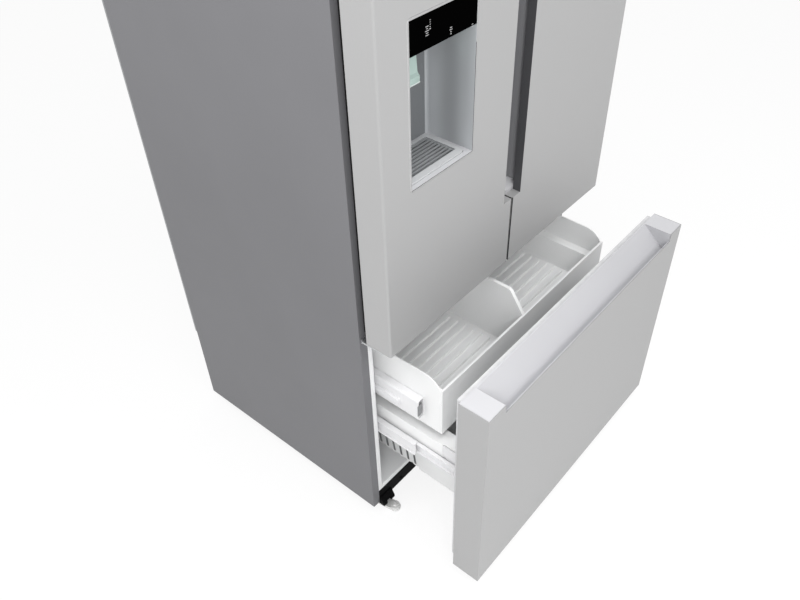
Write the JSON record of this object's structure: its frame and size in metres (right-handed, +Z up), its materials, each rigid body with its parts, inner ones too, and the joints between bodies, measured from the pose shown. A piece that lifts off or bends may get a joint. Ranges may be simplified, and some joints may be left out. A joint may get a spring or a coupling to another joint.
{
  "type": "bottom freezer refrigerator",
  "caption": "Tall refrigerator with two upper doors, a water dispenser in the left door and a pull-out freezer drawer with a sliding basket and a bin.",
  "frame": {"origin": "on the floor, at the centre of the whole appliance's footprint as pictured, with its drawer partly open", "axes": "+Z up, +Y to the rear, +X to the right seen from the front"},
  "size_m": [0.79, 0.9492, 1.79],
  "materials": {
    "cabinet_steel": "satin grey, fine grain",
    "rear_steel": "plain galvanised grey",
    "door_steel": "fine brushed, clear coated",
    "trim_grey": "silver-white painted plastic",
    "rail_white": "moulded white",
    "liner_white": "moulded white, satin",
    "clear_plastic": "clear moulded",
    "shelf_glass": "clear toughened",
    "gasket": "matt",
    "black_paint": "satin black",
    "black_plastic": "moulded black",
    "black_glass": "polished black",
    "cavity_grey": "glossy grey",
    "green_plastic": "translucent pale green",
    "dark_trim": "satin dark grey",
    "zinc_steel": "zinc plated",
    "fin_aluminium": "plain fins"
  },
  "bodies": {
    "cabinet": {"cabinet_shell": "cabinet_steel", "back_panel": "rear_steel", "fridge_liner": "liner_white", "freezer_liner": "liner_white", "kick_strip": "black_paint", "front_foot_left": "zinc_steel", "front_foot_right": "zinc_steel", "glass_shelf_1": "shelf_glass", "glass_shelf_2": "shelf_glass", "glass_shelf_3": "shelf_glass", "crisper": "clear_plastic", "air_duct": "liner_white", "compressor": "black_paint", "condenser": "black_paint", "compressor_cover": "rear_steel", "evaporator": "fin_aluminium", "evaporator_cover": "liner_white", "top_hinge_left": "zinc_steel", "top_hinge_right": "zinc_steel", "hinge_cover_left": "trim_grey", "hinge_cover_right": "trim_grey", "mid_hinge_left": "zinc_steel", "mid_hinge_right": "zinc_steel", "rail_fixed_left": "zinc_steel", "rail_fixed_right": "zinc_steel", "basket_rail_fixed_left": "zinc_steel", "basket_rail_fixed_right": "zinc_steel"},
    "roller_left": {"rear_roller_left": "black_plastic"},
    "roller_right": {"rear_roller_right": "black_plastic"},
    "fan": {"condenser_fan": "black_plastic"},
    "left_door": {"left_door_body": "door_steel", "left_door_liner": "liner_white", "left_door_gasket": "gasket", "left_handle_channel": "dark_trim", "left_door_bin_1": "clear_plastic", "left_door_bin_2": "clear_plastic", "dispenser_housing": "cavity_grey", "dispenser_glass": "black_glass"},
    "paddle": {"dispenser_paddle": "green_plastic"},
    "tray": {"drip_tray": "cavity_grey"},
    "flap": {"mullion_flap": "dark_trim"},
    "right_door": {"right_door_body": "door_steel", "right_door_liner": "liner_white", "right_door_gasket": "gasket", "right_handle_channel": "dark_trim", "right_door_bin_1": "clear_plastic", "right_door_bin_2": "clear_plastic", "right_door_bin_3": "clear_plastic"},
    "drawer": {"drawer_front": "door_steel", "drawer_top_trim": "trim_grey", "drawer_panel": "liner_white", "drawer_gasket": "gasket", "lower_bin": "liner_white", "drawer_rail_left": "zinc_steel", "drawer_rail_right": "zinc_steel"},
    "rail_left": {"rail_middle_left": "zinc_steel"},
    "rail_right": {"rail_middle_right": "zinc_steel"},
    "basket": {"upper_basket": "liner_white", "basket_rail_left": "rail_white", "basket_rail_right": "rail_white"}
  },
  "joints": [
    {"name": "left_door_hinge", "type": "hinge", "parent": "cabinet", "child": "left_door", "pos_m": [-0.373, -0.2074, 1.19], "axis": [0, 0, -1], "range_deg": [0, 120]},
    {"name": "right_door_hinge", "type": "hinge", "parent": "cabinet", "child": "right_door", "pos_m": [0.373, -0.2074, 1.19], "axis": [0, 0, 1], "range_deg": [0, 120]},
    {"name": "flap_hinge", "type": "hinge", "parent": "left_door", "child": "flap", "pos_m": [-0.036, -0.1464, 1.19], "axis": [0, 0, -1], "range_deg": [0, 90]},
    {"name": "paddle_hinge", "type": "hinge", "parent": "left_door", "child": "paddle", "pos_m": [-0.236, -0.1474, 1.216], "axis": [1, 0, 0], "range_deg": [0, 7], "stiffness_Nm_per_rad": 0.3},
    {"name": "tray_lift", "type": "slide", "parent": "left_door", "child": "tray", "axis": [0, 0, 1], "range_m": [0, 0.03]},
    {"name": "drawer_slide", "type": "slide", "parent": "cabinet", "child": "drawer", "axis": [0, -1, 0], "range_m": [-0.238, 0.18]},
    {"name": "rail_left_slide", "type": "slide", "parent": "cabinet", "child": "rail_left", "axis": [0, -1, 0], "range_m": [-0.119, 0.09]},
    {"name": "rail_right_slide", "type": "slide", "parent": "cabinet", "child": "rail_right", "axis": [0, -1, 0], "range_m": [-0.119, 0.09]},
    {"name": "basket_slide", "type": "slide", "parent": "cabinet", "child": "basket", "axis": [0, -1, 0], "range_m": [-0.167, 0.1263]},
    {"name": "roller_left_spin", "type": "hinge", "parent": "cabinet", "child": "roller_left", "pos_m": [-0.35, 0.4076, 0.018], "axis": [1, 0, 0], "continuous": true},
    {"name": "roller_right_spin", "type": "hinge", "parent": "cabinet", "child": "roller_right", "pos_m": [0.35, 0.4076, 0.018], "axis": [1, 0, 0], "continuous": true},
    {"name": "fan_spin", "type": "hinge", "parent": "cabinet", "child": "fan", "pos_m": [0.04, 0.3476, 0.15], "axis": [1, 0, 0], "continuous": true}
  ],
  "couplings": [
    {"joint": "rail_left_slide", "follows": "drawer_slide", "ratio": 0.5},
    {"joint": "rail_right_slide", "follows": "drawer_slide", "ratio": 0.5},
    {"joint": "basket_slide", "follows": "drawer_slide", "ratio": 0.7}
  ]
}
